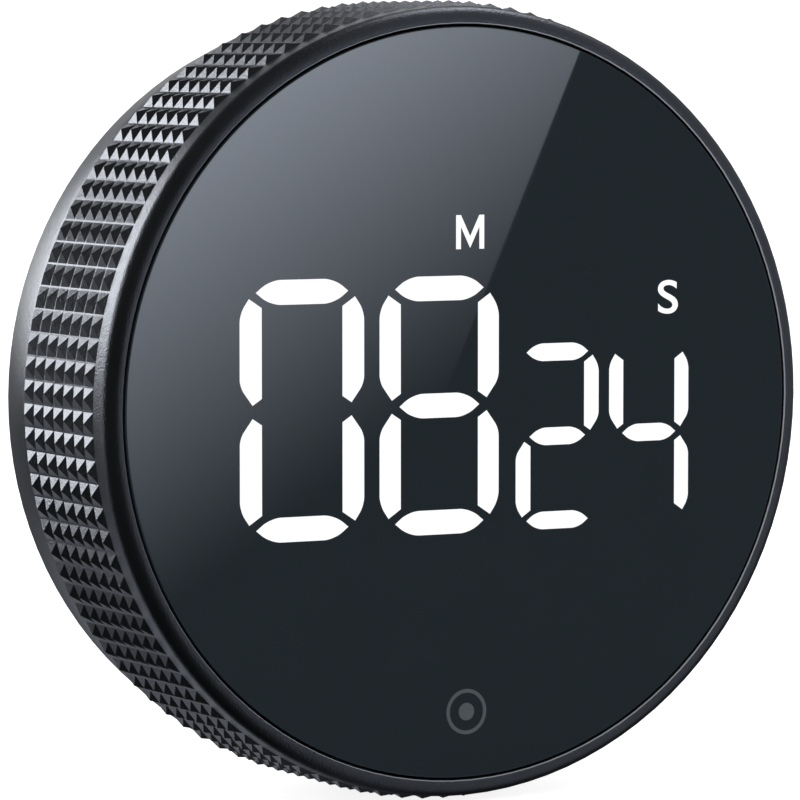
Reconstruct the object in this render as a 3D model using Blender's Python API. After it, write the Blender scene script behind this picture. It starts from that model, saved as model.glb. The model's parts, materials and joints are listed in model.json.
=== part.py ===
"""Round kitchen timer with a knurled twist ring, a flat glossy face and a magnetic back.

The timer stands as it hangs on a steel door: its axis is Y, its face looks along -Y, its digits are
upright along +Z, and the origin is the centre of its flat back. Lengths below are in millimetres.
"Depth" is measured back from the front of the face, so depth 0 is the lens and THICKNESS is the back.
"""

import math

import bmesh
import bpy
from mathutils import Matrix, Vector

MM = 0.001
GAP = 0.3                    # clearance between neighbouring pieces
THICKNESS = 27.0             # face to magnetic back

# Face and display
LENS_RADIUS = 36.3
LENS_THICKNESS = 2.0
LENS_BEVEL = 0.35
WINDOW = [(-27.2, -14.0), (27.2, -14.0), (27.2, 14.0), (5.0, 14.0), (5.0, 19.6),
          (-5.0, 19.6), (-5.0, 14.0), (-27.2, 14.0)]         # outline of the light box, x and z
BIG_DIGITS = [(-17.86, -0.09), (-2.91, -0.09)]               # middle of each minute digit
SMALL_DIGITS = [(10.27, -3.48), (20.72, -3.48)]              # middle of each second digit
SMALL_SCALE = 0.71
BAR = 2.47                   # thickness of a digit's bar
BAR_REACH = 5.57             # digit's centre to the centre line of its upright bars
BAR_RISE = 11.46             # centre line to centre line of its level bars
LEVEL_HALF = 4.89            # half the length of a level bar
UPRIGHT_HALF = 5.0           # half the length of an upright bar
ICONS = [(0.5, 16.6), (22.9, 9.8)]                           # middles of the two icon wells
ICON_SIZE = (4.0, 4.2)
LED_SIZE = (1.6, 0.8, 1.0)

# Twist ring
RING_INNER = LENS_RADIUS + GAP
LIP_CENTRE = 37.0            # radius of the rounded front lip's centre
LIP_RADIUS = 1.4
KNURL_VALLEY = 38.45
KNURL_HEIGHT = 0.56
KNURL_ROWS = 106
KNURL_COLUMNS = 7
KNURL_FRONT = 2.8
KNURL_BACK = 18.34
KNURL_PHASE = 138.8          # angle of one valley, anticlockwise from +X as seen on the face
BAND_STEP = 19.0             # end of the level strip behind the knurl
BAND_BACK = 25.37
BAND_BACK_RADIUS = 37.05
SHOULDER_FRONT = 4.2
SHOULDER_BACK = 5.6
SHOULDER_RADIUS = 34.8

# Ring gear and encoder
MODULE = 1.0
RING_TEETH = 68
PINION_TEETH = 14
PRESSURE = math.radians(20)
PLAY = 0.35                  # backlash at the pitch circle
GEAR_FRONT = 14.4
GEAR_BACK = 18.4
SLEEVE_INNER = 35.4
SLEEVE_BACK = 23.4
ENCODER_Z = MODULE * (RING_TEETH - PINION_TEETH) / 2

# Housings
FLANGE_RADIUS = 36.2
FLANGE_FRONT = LENS_THICKNESS + GAP
FLANGE_BACK = 3.3
WALL_OUTER = 32.2
WALL_INNER = 31.2
SPLIT = 12.8                 # back edge of the front housing's wall
PLATE_FRONT = 24.8
BOSS_RADIUS = 2.9
BOSSES = [(x, z) for x in (-17.5, 17.5) for z in (-22.5, 22.5)]
PCB_FRONT = 8.3
PCB_BACK = 9.5
PCB_RADIUS = 30.8

# Batteries, three AAA cells
CELL_RADIUS = 5.15
CELL_LENGTH = 44.5
CELL_PITCH = 10.9
CELL_DEPTH = 19.7
BAY_X = 25.4
BAY_Z = 16.4
BAY_FLOOR = 14.3
BAY_WALL = 1.1
DOOR_X = 25.7
DOOR_Z = 16.6
DOOR_FRONT = 25.2
DOOR_PIVOT_X = DOOR_X - (THICKNESS - DOOR_FRONT) / 2
DOOR_PIVOT_DEPTH = (THICKNESS + DOOR_FRONT) / 2

# Back details
MAGNET_Z = 25.0
MAGNET_RADIUS = 5.0
MAGNET_FRONT = 24.5
SWITCH_X = 28.7
SWITCH_TRAVEL = 2.0          # either way from the middle
KNOB_HALF = 1.5              # half the knob's length along Z
TOUCH_Z = -27.3
BUZZER_Z = -25.5


def depth(d):
    """World Y, in metres, of a depth in millimetres."""
    return (d - THICKNESS) * MM


def at(x, d, z):
    """World point, in metres, from x, depth and z in millimetres."""
    return Vector((x * MM, depth(d), z * MM))


def finish(name, colour, roughness, metallic=0.0):
    """A plain Principled material."""
    material = bpy.data.materials.new(name)
    material.use_nodes = True
    shader = material.node_tree.nodes["Principled BSDF"]
    shader.inputs["Base Color"].default_value = (*colour, 1.0)
    shader.inputs["Roughness"].default_value = roughness
    shader.inputs["Metallic"].default_value = metallic
    return material


def piece(name, bm, look, origin=None, smooth=True):
    """Make an object of a bmesh, with its origin at a world point and its own material."""
    origin = origin or Vector()
    bmesh.ops.translate(bm, verts=bm.verts, vec=-origin)
    mesh = bpy.data.meshes.new(name)
    bm.to_mesh(mesh)
    bm.free()
    if smooth:
        mesh.shade_smooth()
        mesh.set_sharp_from_angle(angle=math.radians(35))
    if look:
        mesh.materials.append(finish(name, *look))
    obj = bpy.data.objects.new(name, mesh)
    obj.location = origin
    bpy.context.scene.collection.objects.link(obj)
    return obj


def spun(profile, steps, closed, x=0.0, z=0.0):
    """Spin (radius, depth) points once round the line along Y through x, z."""
    bm = bmesh.new()
    verts = [bm.verts.new((r * MM, depth(d), 0)) for r, d in profile]
    ends = verts[1:] + verts[:1] if closed else verts[1:]
    edges = [bm.edges.new(pair) for pair in zip(verts, ends)]
    bmesh.ops.spin(bm, geom=verts + edges, cent=(0, 0, 0), axis=(0, 1, 0), angle=math.tau,
                   steps=steps, use_merge=True)
    bmesh.ops.remove_doubles(bm, verts=bm.verts, dist=1e-7)
    bmesh.ops.recalc_face_normals(bm, faces=bm.faces)
    half_step = Matrix.Rotation(math.pi / steps, 4, "Y")
    bmesh.ops.transform(bm, matrix=Matrix.Translation((x * MM, 0, z * MM)) @ half_step, verts=bm.verts)
    return bm


def plate(outline, front, back, bm=None):
    """Extrude an outline of (x, z) points from one depth to another."""
    bm = bm or bmesh.new()
    face = bm.faces.new([bm.verts.new(at(x, front, z)) for x, z in outline])
    grown = bmesh.ops.extrude_face_region(bm, geom=[face])["geom"]
    moved = [v for v in grown if isinstance(v, bmesh.types.BMVert)]
    bmesh.ops.translate(bm, verts=moved, vec=(0, (back - front) * MM, 0))
    bmesh.ops.recalc_face_normals(bm, faces=bm.faces)
    return bm


def box(x, d, z, bm=None):
    """A block between (low, high) pairs in x, depth and z."""
    return plate([(x[0], z[0]), (x[1], z[0]), (x[1], z[1]), (x[0], z[1])], d[0], d[1], bm)


def circle(radius, steps, x=0.0, z=0.0):
    """Points round a circle in the XZ plane."""
    turn = math.tau / steps
    return [(x + radius * math.cos(k * turn), z + radius * math.sin(k * turn)) for k in range(steps)]


def flatted(radius, flat, steps=20):
    """A circle with its +X side cut flat at the given distance from its centre."""
    start = math.acos(flat / radius)
    turn = (math.tau - 2 * start) / steps
    return [(radius * math.cos(start + k * turn), radius * math.sin(start + k * turn))
            for k in range(steps + 1)]


def combine(target, bm, operation, name):
    """Add or remove a closed shape with a Boolean; the shape stays as a hidden guide."""
    guide = piece(f"{target.name}_{name}", bm, None, smooth=False)
    guide.hide_render = True
    guide.display_type = "WIRE"
    boolean = target.modifiers.new(name, "BOOLEAN")
    boolean.operation = operation
    boolean.object = guide
    boolean.solver = "EXACT"


def involute(angle):
    return math.tan(angle) - angle


def gear_outline(teeth, root, tip, play, flank=3):
    """Involute teeth, one of them centred on +Z; play widens each tooth at the pitch circle."""
    pitch = MODULE * teeth / 2
    base = pitch * math.cos(PRESSURE)
    half_tooth = math.pi / (2 * teeth) + play / (2 * pitch) + involute(PRESSURE)
    side = []
    for k in range(flank):
        radius = root + (tip - root) * k / (flank - 1)
        side.append((radius, half_tooth - involute(math.acos(min(1.0, base / radius)))))
    points = []
    for k in range(teeth):
        middle = math.pi / 2 + math.tau * k / teeth
        tooth = [(r, middle - half) for r, half in side]
        tooth += [(r, middle + half) for r, half in reversed(side)]
        points += [(r * math.cos(angle), r * math.sin(angle)) for r, angle in tooth]
    return points


def bars():
    """Centre (x, z), half length, half thickness and direction of every bar of every digit."""
    digits = [(x, z, 1.0) for x, z in BIG_DIGITS] + [(x, z, SMALL_SCALE) for x, z in SMALL_DIGITS]
    for x, z, scale in digits:
        half = BAR / 2 * scale
        for rise in (1, 0, -1):
            yield (x, z + rise * BAR_RISE * scale), LEVEL_HALF * scale, half, (1, 0)
        for side in (-1, 1):
            for rise in (-0.5, 0.5):
                centre = (x + side * BAR_REACH * scale, z + rise * BAR_RISE * scale)
                yield centre, UPRIGHT_HALF * scale, half, (0, 1)


def bar_outline(centre, length, half, along):
    """A bar with pointed ends."""
    u = Vector(along)
    v = Vector((-along[1], along[0]))
    steps = [(-1, 0, 0), (-1, 1, -1), (1, -1, -1), (1, 0, 0), (1, -1, 1), (-1, 1, 1)]
    points = [Vector(centre) + u * (end * length + inset * half) + v * side * half
              for end, inset, side in steps]
    return [(p.x, p.y) for p in points]


def wire(name, points, radius, look, sides=1):
    """A round wire along world points, closed at both ends, as a curve with a bevel."""
    curve = bpy.data.curves.new(name, "CURVE")
    curve.dimensions = "3D"
    curve.bevel_depth = radius * MM
    curve.bevel_resolution = sides
    curve.use_fill_caps = True
    spline = curve.splines.new("POLY")
    spline.points.add(len(points) - 1)
    for point, place in zip(spline.points, points):
        point.co = (*place, 1.0)
    curve.materials.append(finish(name, *look))
    obj = bpy.data.objects.new(name, curve)
    bpy.context.scene.collection.objects.link(obj)
    return obj


def bent(corners, points=12):
    """Points along a smooth curve that leaves and arrives along its first and last corners."""
    spots = [Vector(c) for c in corners]
    curve = []
    for k in range(points):
        t = k / (points - 1)
        level = spots
        while len(level) > 1:
            level = [a.lerp(b, t) for a, b in zip(level, level[1:])]
        curve.append(level[0])
    return curve


# ---- finishes: colour, roughness, metallic ----
BLACK_ABS = ((0.02, 0.02, 0.022), 0.5)
RING_PAINT = ((0.05, 0.052, 0.056), 0.35, 0.6)
GLOSS_BLACK = ((0.01, 0.011, 0.013), 0.05)
WHITE_ABS = ((0.8, 0.8, 0.78), 0.5)
ACETAL = ((0.75, 0.75, 0.72), 0.4)
CIRCUIT = ((0.02, 0.12, 0.05), 0.4)
CHIP = ((0.015, 0.015, 0.015), 0.4)
STEEL = ((0.6, 0.6, 0.6), 0.3, 1.0)
NICKEL = ((0.7, 0.69, 0.66), 0.25, 1.0)
CELL_WRAP = ((0.05, 0.2, 0.12), 0.35)
RED_LEAD = ((0.5, 0.02, 0.02), 0.4)
BLACK_LEAD = ((0.02, 0.02, 0.02), 0.4)


def make_lens():
    """Flat window over the whole face, with a small bevel round its front edge."""
    profile = [(0, 0), (LENS_RADIUS - LENS_BEVEL, 0), (LENS_RADIUS, LENS_BEVEL),
               (LENS_RADIUS, LENS_THICKNESS), (0, LENS_THICKNESS)]
    piece("lens", spun(profile, 72, False), GLOSS_BLACK)


def make_knurled_ring():
    """Twist ring: front lip, pyramid knurl, tapered back band and an inner shoulder."""
    lip = [(LIP_CENTRE + LIP_RADIUS * math.sin(a), LIP_RADIUS * (1 - math.cos(a)))
           for a in (k * math.pi / 6 for k in range(4))]
    column = (KNURL_BACK - KNURL_FRONT) / KNURL_COLUMNS
    knurl = [(KNURL_VALLEY, KNURL_FRONT + k * column) for k in range(KNURL_COLUMNS + 1)]
    profile = [(RING_INNER, 0)] + lip + knurl
    profile += [(KNURL_VALLEY, BAND_STEP), (BAND_BACK_RADIUS, BAND_BACK), (RING_INNER, BAND_BACK),
                (RING_INNER, SHOULDER_BACK), (SHOULDER_RADIUS, SHOULDER_BACK),
                (SHOULDER_RADIUS, SHOULDER_FRONT), (RING_INNER, SHOULDER_FRONT)]
    bm = spun(profile, KNURL_ROWS, True)
    cells = []
    for face in bm.faces:
        centre = face.calc_center_median()
        outer = math.hypot(centre.x, centre.z) > (KNURL_VALLEY - 0.1) * MM
        if outer and depth(KNURL_FRONT) < centre.y < depth(KNURL_BACK):
            cells.append(face)
    bmesh.ops.poke(bm, faces=cells, offset=KNURL_HEIGHT * MM)
    turn = Matrix.Rotation(-math.radians(KNURL_PHASE) - math.pi / KNURL_ROWS, 4, "Y")
    bmesh.ops.transform(bm, matrix=turn, verts=bm.verts)
    piece("knurled_ring", bm, RING_PAINT)


def make_ring_gear():
    """Sleeve pushed into the ring from behind, with the internal teeth that drive the encoder."""
    outer = RING_INNER - GAP
    tooth_tip = MODULE * (RING_TEETH / 2 - 0.9)
    tooth_root = MODULE * (RING_TEETH / 2 + 1.15)
    profile = [(outer, SHOULDER_BACK + GAP), (outer, SLEEVE_BACK), (SLEEVE_INNER, SLEEVE_BACK),
               (SLEEVE_INNER, GEAR_BACK), (tooth_tip, GEAR_BACK), (tooth_tip, GEAR_FRONT),
               (SLEEVE_INNER, GEAR_FRONT), (SLEEVE_INNER, SHOULDER_BACK + GAP)]
    gear = piece("ring_gear", spun(profile, 60, True), ACETAL)
    spaces = gear_outline(RING_TEETH, tooth_tip - 0.2, tooth_root, PLAY / 2, flank=2)
    combine(gear, plate(spaces, GEAR_FRONT - 1, GEAR_BACK + 1), "DIFFERENCE", "tooth_spaces")


def make_slide_washer():
    """Low-friction washer between the ring's shoulder and the front housing's flange."""
    front = FLANGE_BACK + 0.2
    back = SHOULDER_FRONT - 0.2
    profile = [(SHOULDER_RADIUS + 0.1, front), (FLANGE_RADIUS, front),
               (FLANGE_RADIUS, back), (SHOULDER_RADIUS + 0.1, back)]
    piece("slide_washer", spun(profile, 36, True), ACETAL)


def make_front_housing():
    """Black carrier: the flange that the lens is bonded to, the wall behind it and screw bosses."""
    profile = [(0, FLANGE_FRONT), (FLANGE_RADIUS, FLANGE_FRONT), (FLANGE_RADIUS, FLANGE_BACK),
               (WALL_OUTER, FLANGE_BACK), (WALL_OUTER, SPLIT), (WALL_INNER, SPLIT),
               (WALL_INNER, FLANGE_BACK), (0, FLANGE_BACK)]
    housing = piece("front_housing", spun(profile, 48, False), BLACK_ABS)
    for k, (x, z) in enumerate(BOSSES):
        boss = plate(circle(BOSS_RADIUS, 14, x, z), FLANGE_BACK - 0.5, SPLIT - 0.1)
        combine(housing, boss, "UNION", f"boss_{k + 1}")
    holes = plate(grown(WINDOW, GAP), FLANGE_FRONT - 1, FLANGE_BACK + 1)
    plate(circle(3.3, 16, 0, TOUCH_Z), FLANGE_FRONT - 1, FLANGE_BACK + 1, holes)
    for x, z in BOSSES:
        plate(circle(1.3, 10, x, z), 6.0, SPLIT + 1, holes)
    combine(housing, holes, "DIFFERENCE", "openings")


def grown(outline, by):
    """Move each side of a right-angled outline outwards."""
    count = len(outline)
    result = []
    for k, (x, z) in enumerate(outline):
        before = Vector(outline[k]) - Vector(outline[k - 1])
        after = Vector(outline[(k + 1) % count]) - Vector(outline[k])
        normals = [Vector((side.y, -side.x)).normalized() for side in (before, after)]
        result.append((x + by * (normals[0].x + normals[1].x), z + by * (normals[0].y + normals[1].y)))
    return result


def make_display():
    """White light box with one well for each bar and icon, and the diffuser sheet before it."""
    box_front = FLANGE_BACK
    piece("diffuser_sheet", plate(WINDOW, FLANGE_FRONT, FLANGE_BACK - GAP), WHITE_ABS, smooth=False)
    light_box = piece("display_reflector", plate(WINDOW, box_front, PCB_FRONT - GAP), WHITE_ABS,
                      smooth=False)
    wells = bmesh.new()
    for bar in bars():
        plate(bar_outline(*bar), box_front - 1, PCB_FRONT + 1, wells)
    width, height = ICON_SIZE
    for x, z in ICONS:
        box((x - width / 2, x + width / 2), (box_front - 1, PCB_FRONT + 1),
            (z - height / 2, z + height / 2), wells)
    combine(light_box, wells, "DIFFERENCE", "wells")


def make_main_pcb():
    """Round circuit board with one light-emitting diode soldered behind each well."""
    board = piece("main_pcb", plate(circle(PCB_RADIUS, 48), PCB_FRONT, PCB_BACK), CIRCUIT)
    notches = bmesh.new()
    for x, z in BOSSES:
        plate(circle(BOSS_RADIUS + GAP, 14, x, z), PCB_FRONT - 1, PCB_BACK + 1, notches)
    combine(board, notches, "DIFFERENCE", "boss_notches")
    leds = bmesh.new()
    places = [(centre, along) for centre, _, _, along in bars()] + [(spot, (1, 0)) for spot in ICONS]
    for (x, z), along in places:
        half = (LED_SIZE[0] / 2, LED_SIZE[2] / 2)
        dx, dz = half if along[0] else half[::-1]
        box((x - dx, x + dx), (PCB_FRONT - LED_SIZE[1], PCB_FRONT + 0.2), (z - dz, z + dz), leds)
    combine(board, leds, "UNION", "leds")
    piece("controller_chip", box((-4.5, 4.5), (PCB_BACK + GAP, PCB_BACK + 1.8), (-4.5, 4.5)), CHIP,
          smooth=False)


def make_touch_spring():
    """Coil that carries the touch key's field from the board to the back of the lens."""
    turns, per_turn, radius = 4, 9, 2.2
    front, back = LENS_THICKNESS + GAP + 0.25, PCB_FRONT - GAP - 0.25
    points = []
    for k in range(turns * per_turn + 1):
        angle = math.tau * k / per_turn
        d = front + (back - front) * k / (turns * per_turn)
        points.append(at(radius * math.cos(angle), d, TOUCH_Z + radius * math.sin(angle)))
    wire("touch_spring", points, 0.25, NICKEL)


def make_encoder():
    """Rotary encoder on the board, its flatted shaft and the pinion that the ring gear turns."""
    centre = at(0, 0, ENCODER_Z)
    body = piece("encoder_body", box((-3.5, 3.5), (PCB_BACK + GAP, 13.9),
                                     (ENCODER_Z - 3.5, ENCODER_Z + 3.5)), STEEL, smooth=False)
    recess = plate(circle(1.8, 20, 0, ENCODER_Z), 12.4, 15.0)
    combine(body, recess, "DIFFERENCE", "shaft_recess")
    shaft = [(x, z + ENCODER_Z) for x, z in flatted(1.5, 1.0)]
    piece("encoder_shaft", plate(shaft, 12.7, GEAR_BACK + 0.4), STEEL, centre)
    teeth = gear_outline(PINION_TEETH, MODULE * (PINION_TEETH / 2 - 1.2),
                         MODULE * (PINION_TEETH / 2 + 0.9), -PLAY / 2)
    teeth = [(x, z + ENCODER_Z) for x, z in teeth]
    pinion = piece("encoder_pinion", plate(teeth, GEAR_FRONT + 0.5, GEAR_BACK - 0.5), ACETAL, centre)
    bore = [(x, z + ENCODER_Z) for x, z in flatted(1.5 + GAP, 1.0 + GAP)]
    combine(pinion, plate(bore, GEAR_FRONT - 1, GEAR_BACK + 1), "DIFFERENCE", "bore")


def make_buzzer():
    """Round sounder on the board, with the sound port in its top."""
    front, back = PCB_BACK + GAP, 14.6
    profile = [(0, front), (4.8, front), (4.8, back - 0.3), (4.5, back), (0.9, back), (0.9, back - 1),
               (0, back - 1)]
    piece("buzzer", spun(profile, 32, False, 0, BUZZER_Z), CHIP)


def make_sound_switch():
    """Small slide switch, its knob in a slot of the back cover, and its two leads."""
    piece("sound_switch_body", box((27.0, 30.4), (20.5, 24.3), (-4.3, 4.3)), STEEL, smooth=False)
    bm = box((SWITCH_X - 1.2, SWITCH_X + 1.2), (24.6, 26.3), (-KNOB_HALF, KNOB_HALF))
    knob = piece("sound_switch_knob", bm, BLACK_ABS, at(SWITCH_X, 25.5, 0), smooth=False)
    for k in range(3):
        z = (k - 1) * 0.9
        ridge = box((SWITCH_X - 1.1, SWITCH_X + 1.1), (26.0, 26.7), (z - 0.25, z + 0.25))
        combine(knob, ridge, "UNION", f"ridge_{k + 1}")
    for k, z in enumerate((-2.0, 2.0)):
        points = bent([at(SWITCH_X, PCB_BACK + 0.3, z), at(SWITCH_X, 13, z), at(SWITCH_X + 0.6, 15, z),
                       at(SWITCH_X, 17, z), at(SWITCH_X, 20.1, z)])
        wire(f"switch_lead_{k + 1}", points, 0.4, BLACK_LEAD)


def make_back_cover():
    """Back cover: outer plate, inner wall, battery bay, magnet pockets and the openings."""
    profile = [(0, THICKNESS), (LENS_RADIUS - 0.5, THICKNESS), (LENS_RADIUS, THICKNESS - 0.5),
               (LENS_RADIUS, SLEEVE_BACK + GAP), (SHOULDER_RADIUS, SLEEVE_BACK + GAP),
               (SHOULDER_RADIUS, PLATE_FRONT), (WALL_OUTER, PLATE_FRONT), (WALL_OUTER, SPLIT + GAP),
               (WALL_INNER, SPLIT + GAP), (WALL_INNER, PLATE_FRONT), (0, PLATE_FRONT)]
    cover = piece("back_cover", spun(profile, 52, False), BLACK_ABS)
    bay = box((-BAY_X - BAY_WALL, BAY_X + BAY_WALL), (SPLIT + GAP + 0.1, PLATE_FRONT + 0.6),
              (-BAY_Z - BAY_WALL, BAY_Z + BAY_WALL))
    combine(cover, bay, "UNION", "battery_bay")
    for k, (x, z) in enumerate(BOSSES):
        post = plate(circle(BOSS_RADIUS, 14, x, z), SPLIT + GAP + 0.2, PLATE_FRONT + 0.5)
        combine(cover, post, "UNION", f"screw_post_{k + 1}")
    for name, z in (("upper", MAGNET_Z), ("lower", -MAGNET_Z)):
        seat = plate(circle(MAGNET_RADIUS + 1.0, 24, 0, z), MAGNET_FRONT - 1.3, PLATE_FRONT + 0.5)
        combine(cover, seat, "UNION", f"{name}_magnet_seat")
    behind = THICKNESS + 1
    cells = box((-BAY_X, BAY_X), (BAY_FLOOR, DOOR_FRONT), (-BAY_Z, BAY_Z))
    combine(cover, cells, "DIFFERENCE", "cell_space")
    recess = box((-DOOR_X - GAP, DOOR_X + GAP), (DOOR_FRONT - GAP, behind), (-DOOR_Z - GAP, DOOR_Z + GAP))
    combine(cover, recess, "DIFFERENCE", "door_recess")
    scoop = plate(circle(4.2, 20, -DOOR_X, 0), DOOR_FRONT - 0.1, behind)
    combine(cover, scoop, "DIFFERENCE", "thumb_scoop")
    openings = box((-8.6, 8.6), (SPLIT - 1, GEAR_BACK + 0.6), (24, 36))
    slot = KNOB_HALF + SWITCH_TRAVEL + 0.5
    box((SWITCH_X - 1.5, SWITCH_X + 1.5), (PLATE_FRONT - 1, behind), (-slot, slot), openings)
    for z in (MAGNET_Z, -MAGNET_Z):
        plate(circle(MAGNET_RADIUS + GAP, 24, 0, z), MAGNET_FRONT - GAP, behind, openings)
    for k in range(3):
        plate(circle(0.8, 10, 10.4, BUZZER_Z + (k - 1) * 3), PLATE_FRONT - 1, behind, openings)
    for x, z in BOSSES:
        plate(circle(2.3, 16, x, z), 25.0, behind, openings)
        spindle = plate(circle(1.3, 10, x, z), SPLIT - 1, 25.5)
        combine(cover, spindle, "DIFFERENCE", f"screw_hole_{x:+.0f}_{z:+.0f}")
    combine(cover, openings, "DIFFERENCE", "openings")
    sockets = bmesh.new()
    for side in (-1, 1):
        pin_socket(sockets, side)
    combine(cover, sockets, "DIFFERENCE", "pin_sockets")
    leads = bmesh.new()
    for side in (-1, 1):
        x = (side * (BAY_X - 0.5), side * (BAY_X + BAY_WALL + 0.5))
        box((min(x), max(x)), (CELL_DEPTH - 0.8, CELL_DEPTH + 0.8),
            (side * CELL_PITCH - 0.8, side * CELL_PITCH + 0.8), leads)
    combine(cover, leads, "DIFFERENCE", "lead_holes")


def pin_socket(bm, side):
    """A hole along Z for one hinge pin of the battery door."""
    middle = side * (DOOR_Z + 1.0) * MM
    place = Matrix.Translation(Vector((DOOR_PIVOT_X * MM, depth(DOOR_PIVOT_DEPTH), middle)))
    bmesh.ops.create_cone(bm, cap_ends=True, segments=12, radius1=0.65 * MM, radius2=0.65 * MM,
                          depth=2.0 * MM, matrix=place)


def make_battery_door():
    """Flat door with a rounded hinge edge, two hinge pins and a thumb tab."""
    half = (THICKNESS - DOOR_FRONT) / 2
    section = [(-DOOR_X, THICKNESS), (-DOOR_X, DOOR_FRONT)]
    section += [(DOOR_PIVOT_X + half * math.sin(a), DOOR_PIVOT_DEPTH - half * math.cos(a))
                for a in (k * math.pi / 8 for k in range(9))]
    bm = bmesh.new()
    face = bm.faces.new([bm.verts.new(at(x, d, -DOOR_Z)) for x, d in section])
    moved = [v for v in bmesh.ops.extrude_face_region(bm, geom=[face])["geom"]
             if isinstance(v, bmesh.types.BMVert)]
    bmesh.ops.translate(bm, verts=moved, vec=(0, 0, 2 * DOOR_Z * MM))
    bmesh.ops.recalc_face_normals(bm, faces=bm.faces)
    door = piece("battery_door", bm, BLACK_ABS, at(DOOR_PIVOT_X, DOOR_PIVOT_DEPTH, 0))
    tab = box((-DOOR_X - 1.0, -DOOR_X + 0.5), (DOOR_PIVOT_DEPTH - 0.3, DOOR_PIVOT_DEPTH + 0.3), (-2.2, 2.2))
    combine(door, tab, "UNION", "thumb_tab")
    for name, side in (("upper", 1), ("lower", -1)):
        pin = bmesh.new()
        middle = side * (DOOR_Z + 0.1) * MM
        place = Matrix.Translation(Vector((DOOR_PIVOT_X * MM, depth(DOOR_PIVOT_DEPTH), middle)))
        bmesh.ops.create_cone(pin, cap_ends=True, segments=12, radius1=0.38 * MM, radius2=0.38 * MM,
                              depth=1.6 * MM, matrix=place)
        combine(door, pin, "UNION", f"{name}_pin")


def make_battery(number, z, positive):
    """One AAA cell lying along X, with a coil at its flat end and a contact plate at each end."""
    nub_end = BAY_X - 1.0
    profile = [(0, 0), (CELL_RADIUS, 0), (CELL_RADIUS, CELL_LENGTH - 1), (1.9, CELL_LENGTH - 1),
               (1.9, CELL_LENGTH), (0, CELL_LENGTH)]
    bm = bmesh.new()
    verts = [bm.verts.new((r * MM, 0, along * MM)) for r, along in profile]
    edges = [bm.edges.new(pair) for pair in zip(verts, verts[1:])]
    bmesh.ops.spin(bm, geom=verts + edges, cent=(0, 0, 0), axis=(0, 0, 1), angle=math.tau, steps=24,
                   use_merge=True)
    bmesh.ops.remove_doubles(bm, verts=bm.verts, dist=1e-7)
    bmesh.ops.recalc_face_normals(bm, faces=bm.faces)
    start = positive * (nub_end - CELL_LENGTH)
    turn = Matrix.Translation(at(start, CELL_DEPTH, z)) @ Matrix.Rotation(positive * math.pi / 2, 4, "Y")
    bmesh.ops.transform(bm, matrix=turn, verts=bm.verts)
    piece(f"battery_cell_{number}", bm, CELL_WRAP)
    coil(f"contact_spring_{number}", start - positive * (GAP + 0.35), -positive * (BAY_X - 1.35), z)
    for end, side in (("plus", positive), ("minus", -positive)):
        x = sorted((side * (BAY_X - GAP), side * (BAY_X - GAP - 0.4)))
        bm = box(x, (CELL_DEPTH - 4, CELL_DEPTH + 4), (z - 4.4, z + 4.4))
        piece(f"contact_{end}_{number}", bm, NICKEL, smooth=False)


def coil(name, start, end, z):
    """A conical battery spring between two places along X."""
    turns, per_turn = 3, 8
    points = []
    for k in range(turns * per_turn + 1):
        part = k / (turns * per_turn)
        radius = 1.9 + 1.5 * part
        angle = math.tau * k / per_turn
        points.append(at(start + (end - start) * part, CELL_DEPTH + radius * math.cos(angle),
                         z + radius * math.sin(angle)))
    wire(name, points, 0.35, NICKEL)


def make_power_leads():
    """Leads from the outer contact plates, through the bay's wall, down to the board."""
    for name, side, look in (("power_lead_plus", 1, RED_LEAD), ("power_lead_minus", -1, BLACK_LEAD)):
        z = side * CELL_PITCH
        corners = [(28.0, PCB_BACK + GAP), (28.0, 16), (28.2, CELL_DEPTH), (BAY_X + 0.05, CELL_DEPTH)]
        points = bent([at(side * x, d, z) for x, d in corners])
        wire(name, points, 0.5, look)


def make_magnets():
    for name, z in (("upper", MAGNET_Z), ("lower", -MAGNET_Z)):
        bm = plate(circle(MAGNET_RADIUS, 24, 0, z), MAGNET_FRONT, THICKNESS)
        piece(f"magnet_{name}", bm, NICKEL)


def make_screws():
    """Pan-head screws from the back cover into the front housing's bosses."""
    head_front, head_back, tip = 25.3, 26.7, 7.0
    profile = [(0, head_back), (1.5, head_back), (1.9, head_back - 0.5), (1.9, head_front),
               (1.0, head_front), (1.0, tip + 0.8), (0, tip)]
    for k, (x, z) in enumerate(BOSSES):
        screw = piece(f"cover_screw_{k + 1}", spun(profile, 12, False, x, z), STEEL)
        for name, wide, high in (("level", 1.1, 0.2), ("upright", 0.2, 1.1)):
            slot = box((x - wide, x + wide), (head_back - 0.8, head_back + 1), (z - high, z + high))
            combine(screw, slot, "DIFFERENCE", f"{name}_slot")


def main():
    for obj in list(bpy.data.objects):
        bpy.data.objects.remove(obj, do_unlink=True)
    make_lens()
    make_knurled_ring()
    make_ring_gear()
    make_slide_washer()
    make_front_housing()
    make_display()
    make_main_pcb()
    make_touch_spring()
    make_encoder()
    make_buzzer()
    make_sound_switch()
    make_back_cover()
    make_battery_door()
    for number, (z, positive) in enumerate(((CELL_PITCH, 1), (0, -1), (-CELL_PITCH, 1))):
        make_battery(number + 1, z, positive)
    make_power_leads()
    make_magnets()
    make_screws()


main()
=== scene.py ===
# %% [markdown]
# # A round kitchen timer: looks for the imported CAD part
#
# The real thing is a 78 mm disc. A knurled metal ring turns round a glossy black window, white
# digits shine through the window, and two magnets in the back hold the disc on a steel door.
# The CAD frame already has every piece at its size and place. This lesson gives the frame its
# looks: it keeps the CAD pieces whose shape is right, models the ones that deserve more detail,
# and paints all of them with procedural finishes.
#
# Everything is in metres, with +Z up and the face towards -Y. Sizes below are written in
# millimetres, as on a drawing, and multiplied by MM.

import json
import math

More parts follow.
